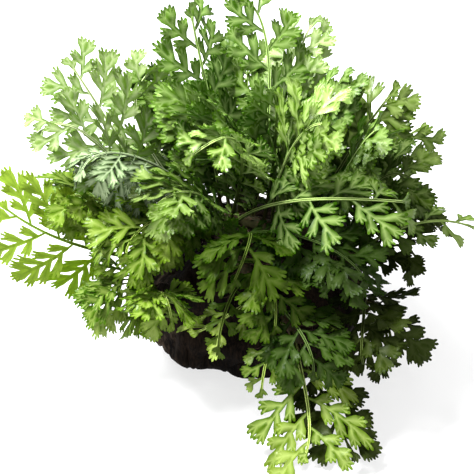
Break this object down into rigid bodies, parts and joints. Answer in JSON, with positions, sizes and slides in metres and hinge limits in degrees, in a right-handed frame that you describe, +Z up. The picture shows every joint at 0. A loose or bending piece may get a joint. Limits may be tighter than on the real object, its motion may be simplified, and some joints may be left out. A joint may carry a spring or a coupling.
{
  "type": "aquarium fern on driftwood",
  "caption": "Bushy lace-leaved water fern rooted on a blocky chunk of dark driftwood, for planting in an aquarium or terrarium.",
  "frame": {"origin": "the middle of the driftwood's flat underside, on the surface that it stands on", "axes": "+Z is up, -Y is the front that the picture shows, +X is to the right as seen from the front"},
  "size_m": [0.2014, 0.1844, 0.1472],
  "materials": {
    "driftwood": "rough, soaked and nearly black",
    "rhizome": "rough brown, scaly",
    "yellow_leaf": "satin, light shows through, bright yellow-green",
    "pale_leaf": "satin, pale minty green",
    "bluish_leaf": "satin, dull bluish green",
    "fresh_leaf": "satin, fresh mid green",
    "green_leaf": "satin, mid to deep green",
    "glossy_leaf": "wet gloss over light green",
    "olive_leaf": "satin, olive green",
    "dark_leaf": "satin, nearly black green in the shade",
    "lime_leaf": "satin, light lime green"
  },
  "bodies": {
    "root": {"driftwood": "driftwood", "rhizome_crest": "rhizome", "rhizome_left": "rhizome", "rhizome_right": "rhizome", "rhizome_front": "rhizome", "rhizome_back": "rhizome", "frond_far_left": "yellow_leaf", "frond_high_left": "pale_leaf", "frond_left": "pale_leaf", "frond_left_bud": "pale_leaf", "frond_curled": "bluish_leaf", "frond_left_drooping": "fresh_leaf", "frond_left_low": "fresh_leaf", "frond_left_inner": "fresh_leaf", "frond_left_front": "fresh_leaf", "frond_left_back": "green_leaf", "frond_crown_left": "green_leaf", "frond_crown": "green_leaf", "frond_crown_right": "pale_leaf", "frond_high_right": "green_leaf", "frond_crown_front": "green_leaf", "frond_crown_low": "green_leaf", "frond_crown_middle": "green_leaf", "frond_arching": "glossy_leaf", "frond_bright": "glossy_leaf", "frond_bright_left": "glossy_leaf", "frond_right_tall": "olive_leaf", "frond_right_high": "olive_leaf", "frond_centre_right": "green_leaf", "frond_right": "olive_leaf", "frond_far_right": "olive_leaf", "frond_right_inner": "olive_leaf", "frond_right_drooping": "dark_leaf", "frond_right_low": "dark_leaf", "frond_right_back": "dark_leaf", "frond_over_left": "glossy_leaf", "frond_hanging_left": "fresh_leaf", "frond_hanging": "fresh_leaf", "frond_sprig": "lime_leaf", "frond_middle": "fresh_leaf", "frond_middle_right": "green_leaf", "frond_across": "green_leaf", "frond_front": "green_leaf", "frond_front_right": "dark_leaf", "frond_corner": "dark_leaf", "frond_front_left": "fresh_leaf", "frond_front_low": "lime_leaf", "frond_front_shaded": "dark_leaf", "frond_back_low_left": "green_leaf", "frond_back_low": "green_leaf", "frond_back_low_right": "green_leaf", "frond_back_left": "green_leaf", "frond_back_middle_left": "green_leaf", "frond_back_middle": "green_leaf", "frond_back_middle_right": "green_leaf", "frond_back_right": "green_leaf", "frond_back_high_left": "green_leaf", "frond_back_high": "green_leaf", "frond_back_high_right": "green_leaf"}
  },
  "joints": []
}
